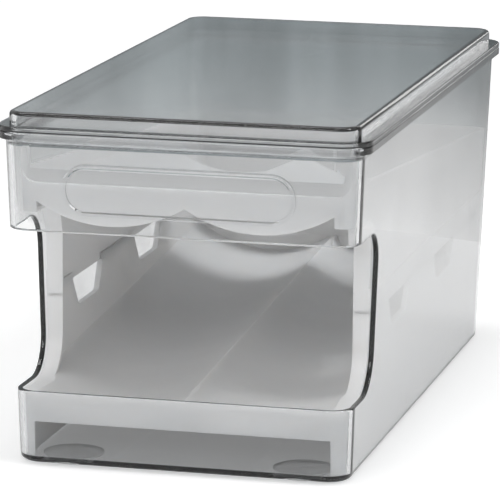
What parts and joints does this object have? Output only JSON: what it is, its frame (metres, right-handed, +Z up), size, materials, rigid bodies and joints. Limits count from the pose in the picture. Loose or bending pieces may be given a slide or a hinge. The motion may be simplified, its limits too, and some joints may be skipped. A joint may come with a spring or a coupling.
{
  "type": "egg dispenser",
  "caption": "Clear box with a lid and a front window, holding two white sloped trays that roll eggs to the back, down and forward again.",
  "frame": {"origin": "centre of the footprint, on the surface that the pads stand on", "axes": "+Z up, -Y the side with the window, +X to the right of someone who faces the window"},
  "size_m": [0.1536, 0.301, 0.1451],
  "materials": {
    "clear_plastic": "clear, polished",
    "white_plastic": "satin",
    "clear_pad": "clear, soft"
  },
  "bodies": {
    "bin": {"bin": "clear_plastic", "foot_pad_front_left": "clear_pad", "foot_pad_front_right": "clear_pad", "foot_pad_rear_left": "clear_pad", "foot_pad_rear_right": "clear_pad"},
    "lower_tray": {"lower_tray": "white_plastic"},
    "upper_tray": {"upper_tray": "white_plastic"},
    "lid": {"lid": "clear_plastic"}
  },
  "joints": [
    {"name": "lower_tray_lift", "type": "slide", "parent": "bin", "child": "lower_tray", "axis": [0, 0, 1], "range_m": [0, 0.15]},
    {"name": "upper_tray_lift", "type": "slide", "parent": "lower_tray", "child": "upper_tray", "axis": [0, 0, 1], "range_m": [0, 0.09]},
    {"name": "lid_lift", "type": "slide", "parent": "upper_tray", "child": "lid", "axis": [0, 0, 1], "range_m": [0, 0.08]}
  ]
}
